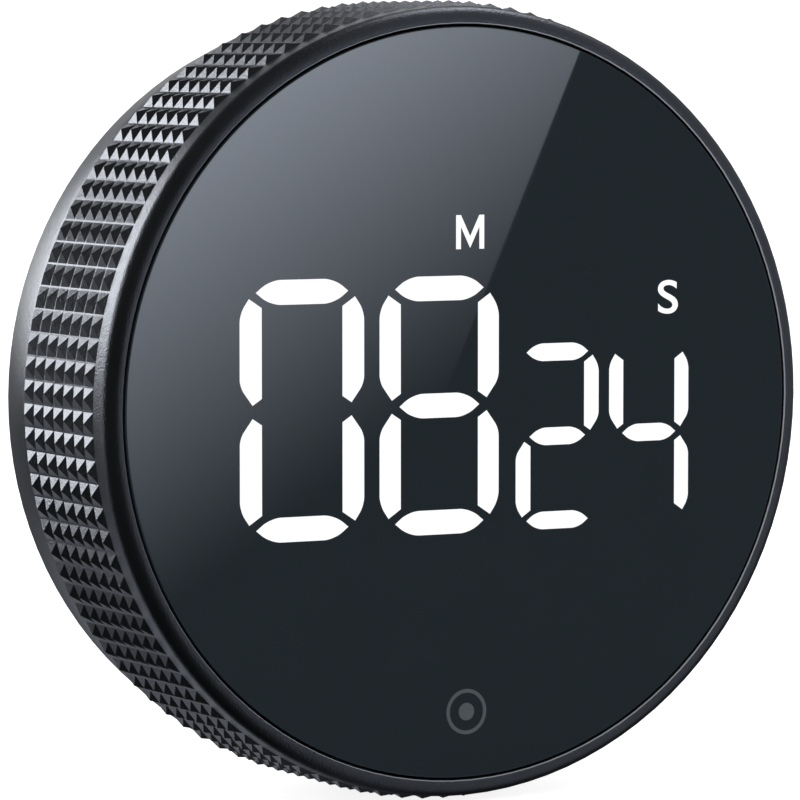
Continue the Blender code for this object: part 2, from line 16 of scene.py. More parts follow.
import bpy
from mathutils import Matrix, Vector

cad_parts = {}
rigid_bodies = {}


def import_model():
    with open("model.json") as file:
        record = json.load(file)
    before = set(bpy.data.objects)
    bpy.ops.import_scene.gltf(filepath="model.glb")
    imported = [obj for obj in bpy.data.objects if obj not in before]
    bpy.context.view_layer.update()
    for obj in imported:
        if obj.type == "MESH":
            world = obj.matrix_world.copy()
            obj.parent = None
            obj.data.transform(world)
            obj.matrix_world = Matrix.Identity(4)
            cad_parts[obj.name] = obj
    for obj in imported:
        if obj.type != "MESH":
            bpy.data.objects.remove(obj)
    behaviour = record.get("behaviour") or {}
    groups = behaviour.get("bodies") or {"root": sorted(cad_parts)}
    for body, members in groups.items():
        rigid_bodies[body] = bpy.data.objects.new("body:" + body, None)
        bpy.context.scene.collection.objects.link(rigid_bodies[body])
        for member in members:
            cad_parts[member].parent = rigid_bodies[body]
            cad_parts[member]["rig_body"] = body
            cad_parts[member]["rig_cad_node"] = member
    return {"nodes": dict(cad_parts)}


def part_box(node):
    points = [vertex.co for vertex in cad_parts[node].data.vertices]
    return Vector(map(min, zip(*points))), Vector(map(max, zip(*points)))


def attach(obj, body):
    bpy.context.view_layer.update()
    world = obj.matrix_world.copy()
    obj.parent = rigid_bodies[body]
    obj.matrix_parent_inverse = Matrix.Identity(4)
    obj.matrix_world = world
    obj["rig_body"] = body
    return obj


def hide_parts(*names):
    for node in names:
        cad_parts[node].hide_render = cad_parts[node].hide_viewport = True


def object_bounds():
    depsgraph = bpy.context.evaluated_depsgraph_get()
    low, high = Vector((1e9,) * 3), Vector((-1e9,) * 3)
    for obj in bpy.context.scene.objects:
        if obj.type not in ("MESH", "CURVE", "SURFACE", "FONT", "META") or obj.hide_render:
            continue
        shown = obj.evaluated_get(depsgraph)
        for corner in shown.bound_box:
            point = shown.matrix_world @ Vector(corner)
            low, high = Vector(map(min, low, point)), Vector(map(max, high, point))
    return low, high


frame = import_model()
cad_low, cad_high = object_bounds()
MM = 0.001
print("CAD box, mm:", [round(side / MM, 2) for side in cad_high - cad_low])

# %% [markdown]
# ## Places that everything else is measured from
#
# The window's front is the face plane. Its middle is the axis that the ring turns on, and
# `at_depth` turns a depth behind the face into a place along Y.

# %% The face plane and the axis
window_low, window_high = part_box("lens")
face_y = window_low.y
axis_x = (window_low.x + window_high.x) / 2
axis_z = (window_low.z + window_high.z) / 2
back_y = cad_high.y


def at_depth(depth):
    """Y in metres of a depth in millimetres behind the face."""
    return face_y + depth * MM


print("face plane at y =", round(face_y, 4), "and back plane at y =", round(back_y, 4))

# %% [markdown]
# ## Camera
#
# A product shot of a small disc is taken with a long lens from about half a metre, a little
# from the left and just above the middle, so that the face stays almost round and the knurled
# side shows. `to_track_quat` turns the camera so that its -Z looks along the view direction.

# %% Camera
CAMERA_AZIMUTH = math.radians(-28.66)
CAMERA_ELEVATION = math.radians(4.04)
CAMERA_DISTANCE = 0.498
CAMERA_AIM = Vector((axis_x - 0.00722, face_y, axis_z + 0.000585))
towards_camera = Vector((math.sin(CAMERA_AZIMUTH) * math.cos(CAMERA_ELEVATION),
                         -math.cos(CAMERA_AZIMUTH) * math.cos(CAMERA_ELEVATION),
                         math.sin(CAMERA_ELEVATION)))
camera_data = bpy.data.cameras.new("product_camera")
camera_data.lens = 233.2
camera_data.sensor_width = 36.0
camera_data.clip_start = 0.01
camera_data.clip_end = 100.0
camera = bpy.data.objects.new("product_camera", camera_data)
camera.rotation_mode = "QUATERNION"
camera.location = CAMERA_AIM + towards_camera * CAMERA_DISTANCE
camera.rotation_quaternion = (-towards_camera).to_track_quat("-Z", "Y")
bpy.context.scene.collection.objects.link(camera)
bpy.context.scene.camera = camera
print("camera stands at", [round(c, 3) for c in camera.location])

# %% [markdown]
# ## Helpers for colours and nodes
#
# Colours are picked as sRGB hex codes, as on a paint card, but shaders work in linear light, so
# one function does the conversion. Another adds a node, sets its options, and fills each input
# with a value or with a link. Two short ones on top of it start a material and do arithmetic.

# %% Colour and node helpers


def hex_colour(code):
    """Linear RGBA from an sRGB hex code."""
    channels = [int(code[k:k + 2], 16) / 255 for k in (1, 3, 5)]
    linear = [c / 12.92 if c <= 0.04045 else ((c + 0.055) / 1.055) ** 2.4 for c in channels]
    return (*linear, 1.0)


def add_node(tree, kind, inputs=None, **settings):
    """Add a node with its settings, and give each named input a value or a link."""
    node = tree.nodes.new(kind)
    for name, value in settings.items():
        setattr(node, name, value)
    for name, value in (inputs or {}).items():
        if isinstance(value, bpy.types.NodeSocket):
            tree.links.new(value, node.inputs[name])
        else:
            node.inputs[name].default_value = value
    return node


def maths(tree, operation, *values):
    """One Math node on values or sockets; returns its result."""
    return add_node(tree, "ShaderNodeMath", dict(enumerate(values)), operation=operation).outputs[0]


def new_material(name):
    """An empty node material with its output; returns the material, its tree and the output."""
    material = bpy.data.materials.new(name)
    material.use_nodes = True
    material.node_tree.nodes.clear()
    output = add_node(material.node_tree, "ShaderNodeOutputMaterial")
    return material, material.node_tree, output


print("hex #808080 is", round(hex_colour("#808080")[0], 4), "in linear light")

# %% [markdown]
# ## Light
#
# The studio is white all round for what the camera sees and for soft light on plastic, but dark
# for what glossy surfaces mirror: black gloss only looks black when there is something black to
# reflect. Light Path tells the world which kind of ray is asking. Glossy rays find a room that
# is almost black in front on the left, grey on the right, and a little lighter behind the timer
# and below it, which gives the knurl its dark greys. The lower right corner behind the timer is
# dark again, which draws the underside of the ring.

# %% World
scene = bpy.context.scene
scene.view_settings.view_transform = "Standard"
world = bpy.data.worlds.new("white_studio")
world.use_nodes = True
scene.world = world
room = world.node_tree
room.nodes.clear()
ROOM_DARK = 0.012
ROOM_RIGHT = 0.235
ROOM_BEHIND = 0.10
ROOM_BELOW = 0.48
CORNER_DARKENING = 0.92
SOFT_LIGHT = 1.15
direction = add_node(room, "ShaderNodeTexCoord")
split = add_node(room, "ShaderNodeSeparateXYZ", {"Vector": direction.outputs["Generated"]})


def room_ramp(axis, start, end, low, high):
    """A soft step of brightness between two values of one axis of the direction."""
    return add_node(room, "ShaderNodeMapRange",
                    {"Value": split.outputs[axis], "From Min": start, "From Max": end,
                     "To Min": low, "To Max": high}, interpolation_type="SMOOTHSTEP").outputs[0]


in_front = room_ramp("X", 0.0, 0.4, ROOM_DARK, ROOM_RIGHT)
behind = room_ramp("Z", -0.22, -0.42, ROOM_BEHIND, ROOM_BELOW)
both = add_node(room, "ShaderNodeMix", {"Factor": room_ramp("Y", 0.45, 0.9, 0.0, 1.0),
                                        "A": in_front, "B": behind}, data_type="FLOAT")
low_right = maths(room, "MULTIPLY", room_ramp("X", 0.1, 0.4, 0.0, 1.0),
                  room_ramp("Z", -0.08, -0.2, 0.0, CORNER_DARKENING))
corner = maths(room, "MULTIPLY", low_right, room_ramp("Y", -0.45, 0.05, 0.0, 1.0))
dim = maths(room, "MULTIPLY", both.outputs[0], maths(room, "SUBTRACT", 1.0, corner))
path = add_node(room, "ShaderNodeLightPath")
mirrored = add_node(room, "ShaderNodeBackground", {"Color": hex_colour("#f2f6ff"), "Strength": dim})
soft = add_node(room, "ShaderNodeBackground", {"Color": (1, 1, 1, 1), "Strength": SOFT_LIGHT})
mix = add_node(room, "ShaderNodeMixShader", {0: path.outputs["Is Glossy Ray"],
                                             1: soft.outputs[0], 2: mirrored.outputs[0]})
add_node(room, "ShaderNodeOutputWorld", {"Surface": mix.outputs[0]})
print("world has", len(room.nodes), "nodes")

# %% [markdown]
# The strongest strips of light stand behind the timer on the left. Facets of the knurl that face
# them in the mirror direction flash almost white, and the others stay dark, which is what makes
# small pyramids readable. A softer box behind on the right and one above draw the top of the
# ring. An area light's power is its radiance times pi times its area.

# %% Lights
OBJECT_MIDDLE = Vector((axis_x, (face_y + back_y) / 2, axis_z))
LIGHT_DISTANCE = 0.6


def soft_box(name, azimuth, elevation, width, height, radiance):
    """An area light aimed at the timer. Azimuth 0 is behind it (+Y), and grows towards +X."""
    a, e = math.radians(azimuth), math.radians(elevation)
    outward = Vector((math.sin(a) * math.cos(e), math.cos(a) * math.cos(e), math.sin(e)))
    data = bpy.data.lights.new(name, "AREA")
    data.shape = "RECTANGLE"
    data.size, data.size_y = width, height
    data.energy = radiance * math.pi * width * height
    light = bpy.data.objects.new(name, data)
    light.rotation_mode = "QUATERNION"
    light.location = OBJECT_MIDDLE + outward * LIGHT_DISTANCE
    light.rotation_quaternion = outward.to_track_quat("Z", "Y")
    light.visible_camera = False
    bpy.context.scene.collection.objects.link(light)
    print(f"{name}: {data.energy:.2f} W")


soft_box("strip_behind_left", -28, 16, 0.28, 0.24, 4.6)
soft_box("strip_left", -53, 14, 0.22, 0.17, 2.4)
soft_box("strip_behind", -7, 9, 0.15, 0.12, 1.3)
soft_box("strip_left_low", -58, -5, 0.20, 0.10, 1.0)
soft_box("box_behind_upper_left", -19, 25, 0.11, 0.11, 3.2)
soft_box("box_behind_right", 18, 22, 0.24, 0.20, 0.8)
soft_box("box_above", 65, 58, 0.22, 0.22, 2.9)

# %% [markdown]
# ## Floor
#
# The disc stands on the rim of its ring. The floor is a large pale plane at the lowest point of
# the ring, and glows a little, as an overlit studio floor does. It keeps out of mirror
# reflections, so that the gloss of the timer stays dark.

# %% Floor


def start_fresh():
    """Leave edit mode and deselect everything, so that operators act only on what comes next."""
    if bpy.context.mode != "OBJECT":
        bpy.ops.object.mode_set(mode="OBJECT")
    bpy.ops.object.select_all(action="DESELECT")


FLOOR_SIZE = 40.0
start_fresh()
bpy.ops.mesh.primitive_plane_add(size=FLOOR_SIZE, location=(0, 0, cad_low.z))
floor = bpy.context.object
floor.name = "studio_floor"
bpy.ops.object.transform_apply(location=True)
floor.visible_glossy = False
paint, tree, output = new_material("matt_white_floor_paint")
shader = add_node(tree, "ShaderNodeBsdfPrincipled",
                  {"Base Color": hex_colour("#b4b4b4"), "Roughness": 0.9,
                   "Emission Color": hex_colour("#ffffff"), "Emission Strength": 0.86})
tree.links.new(shader.outputs[0], output.inputs["Surface"])
floor.data.materials.append(paint)
print("floor at z =", round(cad_low.z, 4))

# %% [markdown]
# ## Reflection card
#
# The window is a flat mirror of black gloss. Its only reflection is a big card, bright at the
# upper left and cut off by a straight edge. A flat mirror shows a thing where its mirror image
# would be, so the card lies in the camera's own plane, twice as large as what it should cover
# on the window and shifted to the other side. Its brightness is a formula of the place on the
# window. Only glossy rays see it, and outside the window's own circle it gives no light.

# %% Reflection card
CARD_SIZE = 0.17
card_shift_x = -camera.location.x
card_shift_z = -camera.location.z
card_y = camera.location.y
start_fresh()
bpy.ops.mesh.primitive_plane_add(size=CARD_SIZE, location=(card_shift_x, card_y, card_shift_z),
                                 rotation=(math.pi / 2, 0, 0))
card = bpy.context.object
card.name = "reflection_card"
bpy.ops.object.transform_apply(location=True, rotation=True)
for ray in ("camera", "diffuse", "transmission", "volume_scatter", "shadow"):
    setattr(card, "visible_" + ray, False)
glow, tree, output = new_material("card_fading_to_the_lower_right")
place = add_node(tree, "ShaderNodeTexCoord")
axes = add_node(tree, "ShaderNodeSeparateXYZ", {"Vector": place.outputs["Object"]})

# place on the window in millimetres, from the place on the card
on_x = maths(tree, "MULTIPLY", maths(tree, "SUBTRACT", axes.outputs["X"], card_shift_x), 0.5 / MM)
on_z = maths(tree, "MULTIPLY", maths(tree, "SUBTRACT", axes.outputs["Z"], card_shift_z), 0.5 / MM)
FADE_START, FADE_X, FADE_Z, FADE_POWER = -0.01038, -0.005203, 0.008271, 1.395
slope = maths(tree, "ADD", maths(tree, "MULTIPLY", on_x, FADE_X),
              maths(tree, "MULTIPLY", on_z, FADE_Z))
above_zero = maths(tree, "MAXIMUM", maths(tree, "ADD", slope, FADE_START), 0.0)
fade = maths(tree, "POWER", above_zero, FADE_POWER)
EDGE_TOP, EDGE_BOTTOM = (12.67, 33.79), (-2.47, 0.61)        # two points of the straight edge
edge_x, edge_z = EDGE_TOP[0] - EDGE_BOTTOM[0], EDGE_TOP[1] - EDGE_BOTTOM[1]
up_the_edge = maths(tree, "SUBTRACT", on_z, EDGE_BOTTOM[1])
across = maths(tree, "SUBTRACT", maths(tree, "MULTIPLY", up_the_edge, edge_x / edge_z),
               maths(tree, "SUBTRACT", on_x, EDGE_BOTTOM[0]))
left_of_edge = maths(tree, "GREATER_THAN", across, 0.0)
LIT_RADIUS = 36.4
from_axis = maths(tree, "SQRT", maths(tree, "ADD", maths(tree, "MULTIPLY", on_x, on_x),
                                      maths(tree, "MULTIPLY", on_z, on_z)))
in_circle = maths(tree, "LESS_THAN", from_axis, LIT_RADIUS)
WINDOW_REFLECTANCE = 0.0378                # of the window's gloss, seen from straight ahead
lit_part = maths(tree, "MULTIPLY", maths(tree, "MULTIPLY", fade, left_of_edge), in_circle)
strength = maths(tree, "DIVIDE", lit_part, WINDOW_REFLECTANCE)
shader = add_node(tree, "ShaderNodeEmission",
                  {"Color": hex_colour("#e7efff"), "Strength": strength})
tree.links.new(shader.outputs[0], output.inputs["Surface"])
card.data.materials.append(glow)
print("card stands", round(face_y - card_y, 3), "m before the face")

# %% [markdown]
# # Finishes
#
# Each finish is named for what the real surface is. They all read Object coordinates, which for
# these pieces are plain metres, so a pattern's scale is one divided by its real size.

# %% Helpers for finishes


def per_metre(millimetres):
    """Noise scale whose features are about that size."""
    return 1.0 / (millimetres * MM)


def surface(name, base, grain=0.0, grain_height=0.0, mottle=0.0, roughness_spread=0.0,
            **shader_values):
    """A Principled finish with a slow drift in tone and roughness and a fine bumpy grain.

    base is a hex code; grain is the size of the bumps in millimetres and grain_height their
    height; mottle is how far the tone drifts; shader_values are sockets with underscores.
    """
    material, tree, output = new_material(name)
    spot = add_node(tree, "ShaderNodeTexCoord").outputs["Object"]
    shader = add_node(tree, "ShaderNodeBsdfPrincipled", {
        key.replace("_", " "): value for key, value in shader_values.items()})
    tree.links.new(shader.outputs[0], output.inputs["Surface"])
    drift = add_node(tree, "ShaderNodeTexNoise", {"Vector": spot, "Scale": per_metre(9.0),
                                                  "Detail": 3.0, "Roughness": 0.6})
    colour = hex_colour(base)
    darker = (*[c * (1 - mottle) for c in colour[:3]], 1.0)
    lighter = (*[min(1.0, c * (1 + mottle)) for c in colour[:3]], 1.0)
    ramp = add_node(tree, "ShaderNodeValToRGB", {"Fac": drift.outputs[0]})
    ramp.color_ramp.elements[0].position, ramp.color_ramp.elements[1].position = 0.3, 0.7
    ramp.color_ramp.elements[0].color, ramp.color_ramp.elements[1].color = darker, lighter
    tree.links.new(ramp.outputs["Color"], shader.inputs["Base Color"])
    middle = shader_values.get("Roughness", 0.5)
    rough = add_node(tree, "ShaderNodeMapRange", {
        "Value": drift.outputs[0], "From Min": 0.3, "From Max": 0.7,
        "To Min": middle - roughness_spread, "To Max": middle + roughness_spread})
    tree.links.new(rough.outputs["Result"], shader.inputs["Roughness"])
    if grain:
        bumps = add_node(tree, "ShaderNodeTexNoise", {"Vector": spot, "Scale": per_metre(grain),
                                                      "Detail": 2.0, "Roughness": 0.5})
        bump = add_node(tree, "ShaderNodeBump", {"Height": bumps.outputs[0], "Strength": 1.0,
                                                 "Distance": grain_height * MM})
        tree.links.new(bump.outputs["Normal"], shader.inputs["Normal"])
    return material


print("noise scale for 0.2 mm grain:", round(per_metre(0.2)))

# %% Finishes of the outside
# the blasting grit leaves dimples under 0.1 mm; 0.2 mm is about the finest grain that shows
finishes = {
    "ring_anodised": surface("blasted_grey_anodised_aluminium", "#6c6f75", grain=0.2,
                             grain_height=0.046, mottle=0.06, roughness_spread=0.02,
                             Metallic=1.0, Roughness=0.31),
    "face_lens": surface("black_backed_polished_acrylic", "#1d2327", mottle=0.02,
                         roughness_spread=0.004, Roughness=0.012, IOR=1.49),
    "black_abs": surface("spark_textured_black_abs", "#17181a", grain=0.22, grain_height=0.012,
                         mottle=0.08, roughness_spread=0.05, Roughness=0.48, IOR=1.53),
}
# the edge of the ring next to the window, coloured pale and matt as a painted highlight line
painted_highlight_edge = surface("pale_painted_highlight_on_ring_edge", "#8c9096", grain=0.1, grain_height=0.004,
                    mottle=0.05, roughness_spread=0.04, Roughness=0.5, IOR=1.5)
# inside the bore, matt black colour as painted shade, so that the gap round the window stays dark
# and nothing glints there
painted_shade_in_bore = surface("black_painted_shade_in_ring_bore", "#08080a", grain=0.2, grain_height=0.004,
                     mottle=0.05, roughness_spread=0.05, Roughness=0.8, IOR=1.45)
print(len(finishes), "outside finishes")

# %% Finishes of the inside
finishes.update({
    "natural_acetal": surface("moulded_natural_acetal", "#e4dfd2", grain=0.5, grain_height=0.003,
                              mottle=0.04, roughness_spread=0.05, Roughness=0.38, IOR=1.48),
    "white_abs": surface("moulded_white_abs", "#ecebe4", grain=0.3, grain_height=0.004,
                         mottle=0.03, roughness_spread=0.04, Roughness=0.45, IOR=1.53),
    "circuit_board": surface("green_solder_mask", "#12492b", grain=0.6, grain_height=0.004,
                             mottle=0.15, roughness_spread=0.06, Roughness=0.32, IOR=1.5),
    "chip_black": surface("moulded_black_epoxy", "#18181a", grain=0.1, grain_height=0.006,
                          mottle=0.1, roughness_spread=0.04, Roughness=0.55, IOR=1.55),
    "zinc_steel": surface("zinc_plated_steel", "#b9bcbf", grain=0.25, grain_height=0.002,
                          mottle=0.08, roughness_spread=0.06, Metallic=1.0, Roughness=0.32),
    "nickel_plate": surface("bright_nickel_plate", "#cfccc4", grain=0.4, grain_height=0.001,
                            mottle=0.04, roughness_spread=0.05, Metallic=1.0, Roughness=0.2),
    "cell_wrap": surface("shrunk_pvc_cell_wrap", "#1c4f3a", grain=0.8, grain_height=0.002,
                         mottle=0.04, roughness_spread=0.04, Roughness=0.3, IOR=1.5),
    "red_lead": surface("red_pvc_lead", "#a81f1a", grain=0.3, grain_height=0.002, mottle=0.05,
                        roughness_spread=0.05, Roughness=0.42, IOR=1.53),
    "black_lead": surface("black_pvc_lead", "#1a1a1c", grain=0.3, grain_height=0.002, mottle=0.05,
                          roughness_spread=0.05, Roughness=0.42, IOR=1.53),
})
print(len(finishes), "finishes in all")

# %% [markdown]
# ## Painting the CAD nodes
#
# The record gives each node's material slot, so every CAD piece gets its finish in one loop.

# %% Paint the CAD nodes
slots_of_nodes = {
    "lens": "face_lens", "knurled_ring": "ring_anodised", "ring_gear": "natural_acetal",
    "slide_washer": "natural_acetal", "front_housing": "black_abs", "diffuser_sheet": "white_abs",
    "display_reflector": "white_abs", "main_pcb": "circuit_board", "controller_chip": "chip_black",
    "touch_spring": "nickel_plate", "encoder_body": "zinc_steel", "encoder_shaft": "zinc_steel",
    "encoder_pinion": "natural_acetal", "buzzer": "chip_black", "sound_switch_body": "zinc_steel",
    "sound_switch_knob": "black_abs", "switch_lead_1": "black_lead", "switch_lead_2": "black_lead",
    "back_cover": "black_abs", "battery_door": "black_abs", "power_lead_plus": "red_lead",
    "power_lead_minus": "black_lead", "magnet_upper": "nickel_plate",
    "magnet_lower": "nickel_plate",
}
for number in (1, 2, 3):
    slots_of_nodes[f"battery_cell_{number}"] = "cell_wrap"
    for part in ("spring", "plus", "minus"):
        slots_of_nodes[f"contact_{part}_{number}"] = "nickel_plate"
for number in (1, 2, 3, 4):
    slots_of_nodes[f"cover_screw_{number}"] = "zinc_steel"
for name, slot in slots_of_nodes.items():
    for material_slot in frame["nodes"][name].material_slots:
        material_slot.material = finishes[slot]
print(len(slots_of_nodes), "of", len(frame["nodes"]), "nodes painted")

# %% [markdown]
# # Modelling helpers
#
# Most pieces of a round timer could be turned on a lathe. In Blender that is a circle, extruded
# one ring of edges at a time: each new ring is moved along the axis and resized to its radius.

# %% Turned shapes


def turned(name, rings, sides, centre=(0.0, 0.0), phase=90.0, closed=False):
    """Extrude a circle through (radius, depth) rings in millimetres, and close the shape.

    centre is x, z in millimetres; phase is the angle of the first corner, anticlockwise from
    +X as seen from the front; a closed shape joins its last ring to its first one.
    """
    start_fresh()
    x, z = axis_x + centre[0] * MM, axis_z + centre[1] * MM
    radius, depth = rings[0]
    bpy.ops.mesh.primitive_circle_add(vertices=sides, radius=radius * MM,
                                      location=(x, at_depth(depth), z),
                                      rotation=(math.pi / 2, math.radians(90 - phase), 0))
    made = bpy.context.object
    made.name = made.data.name = name
    bpy.ops.object.transform_apply(location=True, rotation=True)
    bpy.ops.object.mode_set(mode="EDIT")
    bpy.ops.mesh.select_all(action="SELECT")
    if not closed:
        bpy.ops.mesh.edge_face_add()
        bpy.ops.mesh.select_all(action="SELECT")
    for (radius, depth), (next_radius, next_depth) in zip(rings, rings[1:]):
        bpy.ops.mesh.extrude_region_move(
            TRANSFORM_OT_translate={"value": (0, (next_depth - depth) * MM, 0)})
        grow = next_radius / radius
        if grow != 1.0:
            bpy.ops.transform.resize(value=(grow, 1, grow),
                                     center_override=(x, at_depth(next_depth), z))
    bpy.ops.mesh.select_all(action="SELECT")
    if closed:
        bpy.ops.mesh.remove_doubles(threshold=0.002 * MM)
    bpy.ops.mesh.normals_make_consistent(inside=False)
    bpy.ops.object.mode_set(mode="OBJECT")
    return made


def smooth(made, angle):
    """Smooth shading, with edges sharper than the angle left crisp."""
    start_fresh()
    made.select_set(True)
    bpy.context.view_layer.objects.active = made
    bpy.ops.object.shade_smooth_by_angle(angle=math.radians(angle))


def select_faces(made, wanted):
    """In edit mode, select the faces for which wanted(face) is true, and only those."""
    bpy.ops.object.mode_set(mode="EDIT")
    bpy.ops.mesh.select_mode(type="FACE")
    bpy.ops.mesh.select_all(action="DESELECT")
    bpy.ops.object.mode_set(mode="OBJECT")
    count = 0
    for face in made.data.polygons:
        face.select = bool(wanted(face))
        count += face.select
    bpy.ops.object.mode_set(mode="EDIT")
    return count


def triangles(made):
    """How many triangles the mesh has once its faces are cut up."""
    return sum(len(face.vertices) - 2 for face in made.data.polygons)


# %% [markdown]
# # The twist ring
#
# The ring is turned from aluminium: a rounded lip at the front, a straight band for the knurl,
# a narrow level strip and a band that tapers to the back. Just inside the lip a fine undercut
# is coloured black as painted shade, to keep the gap round the window dark, and a narrow pale
# edge along it is a painted highlight.
#
# The knurl is 106 rows of seven small pyramids. The band starts as 106 by 7 plain faces.
# Insetting each face by itself leaves the flat grooves, and poking what is left lifts a point
# from its middle, so a few operators make all 742 pyramids at once, exactly alike.

# %% Twist ring
# radii and depths behind the face, in millimetres
RING_BORE, MOUTH_DEEP = 36.62, 0.28
EDGE_INNER, EDGE_OUTER, EDGE_DEEP = 36.71, 36.79, 0.14
UNDERCUT, UNDERCUT_FRONT, UNDERCUT_BACK, UNDERCUT_END = 36.85, 0.5, 0.9, 1.2
LIP_MIDDLE, LIP_ROUND, LIP_STEPS = 37.0, 1.4, 9
VALLEY, KNURL_FRONT, KNURL_BACK, STRIP_BACK = 38.45, 2.8, 18.34, 19.0
KNURL_COLUMNS, KNURL_ROWS, KNURL_HEIGHT, GROOVE = 7, 106, 0.53, 0.17
KNURL_PHASE = 138.8                        # turns the rows to where they stand at rest
BACK_EDGE = [(37.2, 24.7), (37.05, 25.2), (36.9, 25.37)]
FLANGE, FLANGE_FRONT, FLANGE_BACK = 34.8, 4.2, 5.6

column = (KNURL_BACK - KNURL_FRONT) / KNURL_COLUMNS
lip_turns = [k * math.pi / 2 / LIP_STEPS for k in range(LIP_STEPS + 1)]
rings = [(RING_BORE, MOUTH_DEEP), (EDGE_INNER, EDGE_DEEP), (EDGE_OUTER, 0.0)]
rings += [(LIP_MIDDLE + LIP_ROUND * math.sin(a), LIP_ROUND * (1 - math.cos(a))) for a in lip_turns]
rings += [(VALLEY, KNURL_FRONT + k * column) for k in range(KNURL_COLUMNS + 1)]
rings += [(VALLEY, STRIP_BACK), *BACK_EDGE, (RING_BORE, BACK_EDGE[-1][1]),
          (RING_BORE, FLANGE_BACK), (FLANGE, FLANGE_BACK), (FLANGE, FLANGE_FRONT),
          (RING_BORE, FLANGE_FRONT), (RING_BORE, UNDERCUT_END), (UNDERCUT, UNDERCUT_BACK),
          (UNDERCUT, UNDERCUT_FRONT), (RING_BORE, MOUTH_DEEP)]
twist_ring = turned("twist_ring_shell", rings, KNURL_ROWS, phase=KNURL_PHASE, closed=True)


def in_knurl(face):
    """Whether a face lies on the band that becomes the knurl."""
    radius = math.hypot(face.center.x - axis_x, face.center.z - axis_z)
    in_depth = at_depth(KNURL_FRONT) < face.center.y < at_depth(KNURL_BACK)
    return radius > (VALLEY - 0.1) * MM and in_depth


print(select_faces(twist_ring, in_knurl), "faces in the knurl band")
bpy.ops.mesh.inset(thickness=GROOVE / 2 * MM, depth=0.0, use_individual=True)
bpy.ops.mesh.poke(offset=KNURL_HEIGHT * MM, center_mode="MEDIAN")
bpy.ops.object.mode_set(mode="OBJECT")
smooth(twist_ring, 16)                     # joins the steps of the lip, not the pyramids' sides
twist_ring.data.materials.append(finishes["ring_anodised"])
twist_ring.data.materials.append(painted_highlight_edge)
twist_ring.data.materials.append(painted_shade_in_bore)
# the pale edge at the mouth is a painted highlight, and the black undercut in the bore is painted
# shade
for face in twist_ring.data.polygons:
    radius = math.hypot(face.center.x - axis_x, face.center.z - axis_z) / MM
    depth = (face.center.y - face_y) / MM
    if radius < EDGE_OUTER and depth < EDGE_DEEP:
        face.material_index = 1
    elif radius < UNDERCUT + 0.01 and EDGE_DEEP < depth < FLANGE_FRONT:
        face.material_index = 2
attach(twist_ring, "twist_ring")
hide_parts("knurled_ring")
print(twist_ring.name, triangles(twist_ring), "triangles")

# %% [markdown]
# # The window
#
# A flat disc of black-backed acrylic, polished, with a fine bevel round its edge. It has many
# sides, so that its outline stays round next to the ring.

# %% Window
WINDOW_RADIUS, WINDOW_BEVEL, WINDOW_BACK, WINDOW_SIDES = 36.42, 0.10, 2.0, 212
BEVEL_MIDDLE = 0.035                       # how far the bevel's middle stands from both faces
rings = [(WINDOW_RADIUS - WINDOW_BEVEL, 0.0), (WINDOW_RADIUS - BEVEL_MIDDLE, BEVEL_MIDDLE),
         (WINDOW_RADIUS, WINDOW_BEVEL), (WINDOW_RADIUS, WINDOW_BACK)]
window = turned("face_window", rings, WINDOW_SIDES)
smooth(window, 20)
window.data.materials.append(finishes["face_lens"])
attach(window, "housing")
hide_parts("lens")
print(window.name, triangles(window), "triangles")

# %% [markdown]
# # The lit digits
#
# Light-emitting diodes shine through white diffusers behind the window, and only the lit bars
# show. They are thin glowing plates that stand a hair above the window. A level bar and an
# upright bar are each cut once from a rectangle: bisect takes the corners off, and a vertex
# bevel rounds the shoulders. Every other bar is a copy with its own mesh.

# %% Glow of the digits
lit, tree, output = new_material("white_glow_through_diffuser")
spot = add_node(tree, "ShaderNodeTexCoord").outputs["Object"]
# the diffuser's grain is far too fine to see; 0.5 mm keeps a trace of it
grain = add_node(tree, "ShaderNodeTexNoise",
                 {"Vector": spot, "Scale": per_metre(0.5), "Detail": 2.0})
glow = add_node(tree, "ShaderNodeMapRange",
                {"Value": grain.outputs[0], "To Min": 0.97, "To Max": 1.05})
shader = add_node(tree, "ShaderNodeBsdfPrincipled",
                  {"Base Color": hex_colour("#202224"), "Roughness": 0.3,
                   "Emission Color": hex_colour("#fefefe"),
                   "Emission Strength": glow.outputs["Result"]})
tree.links.new(shader.outputs[0], output.inputs["Surface"])
print("glow material has", len(tree.nodes), "nodes")

# %% Bars of a digit
BAR_FRONT, BAR_BACK = -0.02, 0.03


